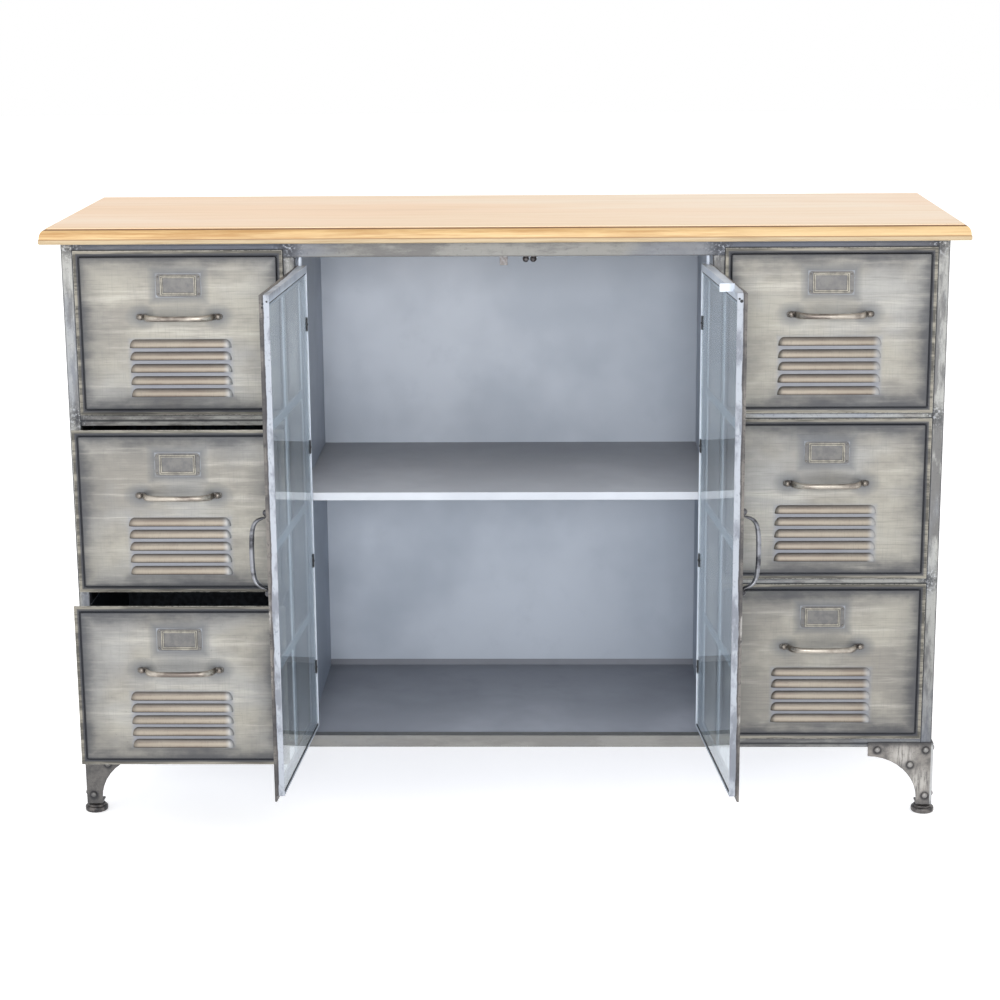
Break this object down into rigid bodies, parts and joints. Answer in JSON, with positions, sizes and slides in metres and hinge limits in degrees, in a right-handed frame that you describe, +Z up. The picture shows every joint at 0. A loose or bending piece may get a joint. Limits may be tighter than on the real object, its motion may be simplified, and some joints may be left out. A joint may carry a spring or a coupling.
{
  "type": "sideboard buffet",
  "caption": "Wide metal sideboard with a pale wooden top, drawer columns at both sides, glazed doors over a shelved middle compartment, and short bracket feet.",
  "frame": {"origin": "on the floor, under the middle of the whole sideboard as it stands at rest with its doors open and two drawers pulled out", "axes": "+X to the right of someone facing the front, +Y into the sideboard from front to back, +Z up"},
  "size_m": [1.35, 0.7082, 0.91],
  "materials": {
    "pale_wood": "satin varnish on pale straight-grained wood",
    "frame_steel": "raw zinc-grey steel with mottled welds, lacquered",
    "brushed_zinc": "brushed along the width, worn dark at the edges",
    "grey_paint": "smooth blue-grey paint",
    "pale_paint": "smooth pale grey paint",
    "door_steel": "pale grey paint inside, worn dark grey outside",
    "aged_bronze": "aged, rubbed bright on the high spots",
    "dark_steel": "plain dark steel",
    "door_glass": "clear flat glass"
  },
  "bodies": {
    "carcass": {"wood_top": "pale_wood", "corner_post_front_left": "frame_steel", "corner_post_front_right": "frame_steel", "corner_post_back_left": "frame_steel", "corner_post_back_right": "frame_steel", "centre_post_left": "frame_steel", "centre_post_right": "frame_steel", "front_rail_top": "frame_steel", "front_rail_bottom": "frame_steel", "drawer_rail_left_1": "frame_steel", "drawer_rail_left_2": "frame_steel", "drawer_rail_right_1": "frame_steel", "drawer_rail_right_2": "frame_steel", "side_panel_left": "frame_steel", "side_panel_right": "frame_steel", "partition_left": "grey_paint", "partition_right": "grey_paint", "back_panel": "grey_paint", "floor_panel": "grey_paint", "shelf": "pale_paint", "foot_bracket_front_left": "frame_steel", "foot_bracket_front_right": "frame_steel", "foot_bracket_back_left": "frame_steel", "foot_bracket_back_right": "frame_steel", "foot_pad_front_left": "dark_steel", "foot_pad_front_right": "dark_steel", "foot_pad_back_left": "dark_steel", "foot_pad_back_right": "dark_steel", "ball_catch": "dark_steel", "door_stop": "pale_paint"},
    "drawer_left_1": {"drawer_left_1_front": "brushed_zinc", "drawer_left_1_box": "grey_paint", "drawer_left_1_label_holder": "aged_bronze", "drawer_left_1_handle": "aged_bronze"},
    "drawer_left_2": {"drawer_left_2_front": "brushed_zinc", "drawer_left_2_box": "grey_paint", "drawer_left_2_label_holder": "aged_bronze", "drawer_left_2_handle": "aged_bronze"},
    "drawer_left_3": {"drawer_left_3_front": "brushed_zinc", "drawer_left_3_box": "grey_paint", "drawer_left_3_label_holder": "aged_bronze", "drawer_left_3_handle": "aged_bronze"},
    "drawer_right_1": {"drawer_right_1_front": "brushed_zinc", "drawer_right_1_box": "grey_paint", "drawer_right_1_label_holder": "aged_bronze", "drawer_right_1_handle": "aged_bronze"},
    "drawer_right_2": {"drawer_right_2_front": "brushed_zinc", "drawer_right_2_box": "grey_paint", "drawer_right_2_label_holder": "aged_bronze", "drawer_right_2_handle": "aged_bronze"},
    "drawer_right_3": {"drawer_right_3_front": "brushed_zinc", "drawer_right_3_box": "grey_paint", "drawer_right_3_label_holder": "aged_bronze", "drawer_right_3_handle": "aged_bronze"},
    "door_left": {"door_left_frame": "door_steel", "door_left_glass": "door_glass", "door_left_handle": "aged_bronze"},
    "door_right": {"door_right_frame": "door_steel", "door_right_glass": "door_glass", "door_right_handle": "aged_bronze"}
  },
  "joints": [
    {"name": "drawer_left_1_slide", "type": "slide", "parent": "carcass", "child": "drawer_left_1", "axis": [0, -1, 0], "range_m": [0, 0.19]},
    {"name": "drawer_left_2_slide", "type": "slide", "parent": "carcass", "child": "drawer_left_2", "axis": [0, -1, 0], "range_m": [-0.07, 0.12]},
    {"name": "drawer_left_3_slide", "type": "slide", "parent": "carcass", "child": "drawer_left_3", "axis": [0, -1, 0], "range_m": [-0.116, 0.074]},
    {"name": "drawer_right_1_slide", "type": "slide", "parent": "carcass", "child": "drawer_right_1", "axis": [0, -1, 0], "range_m": [0, 0.19]},
    {"name": "drawer_right_2_slide", "type": "slide", "parent": "carcass", "child": "drawer_right_2", "axis": [0, -1, 0], "range_m": [0, 0.19]},
    {"name": "drawer_right_3_slide", "type": "slide", "parent": "carcass", "child": "drawer_right_3", "axis": [0, -1, 0], "range_m": [0, 0.19]},
    {"name": "door_left_hinge", "type": "hinge", "parent": "carcass", "child": "door_left", "pos_m": [-0.299, -0.05588, 0.49], "axis": [0, 0, 1], "range_deg": [-3.5, 93.5]},
    {"name": "door_right_hinge", "type": "hinge", "parent": "carcass", "child": "door_right", "pos_m": [0.299, -0.05588, 0.49], "axis": [0, 0, -1], "range_deg": [-1.5, 95.5]}
  ]
}
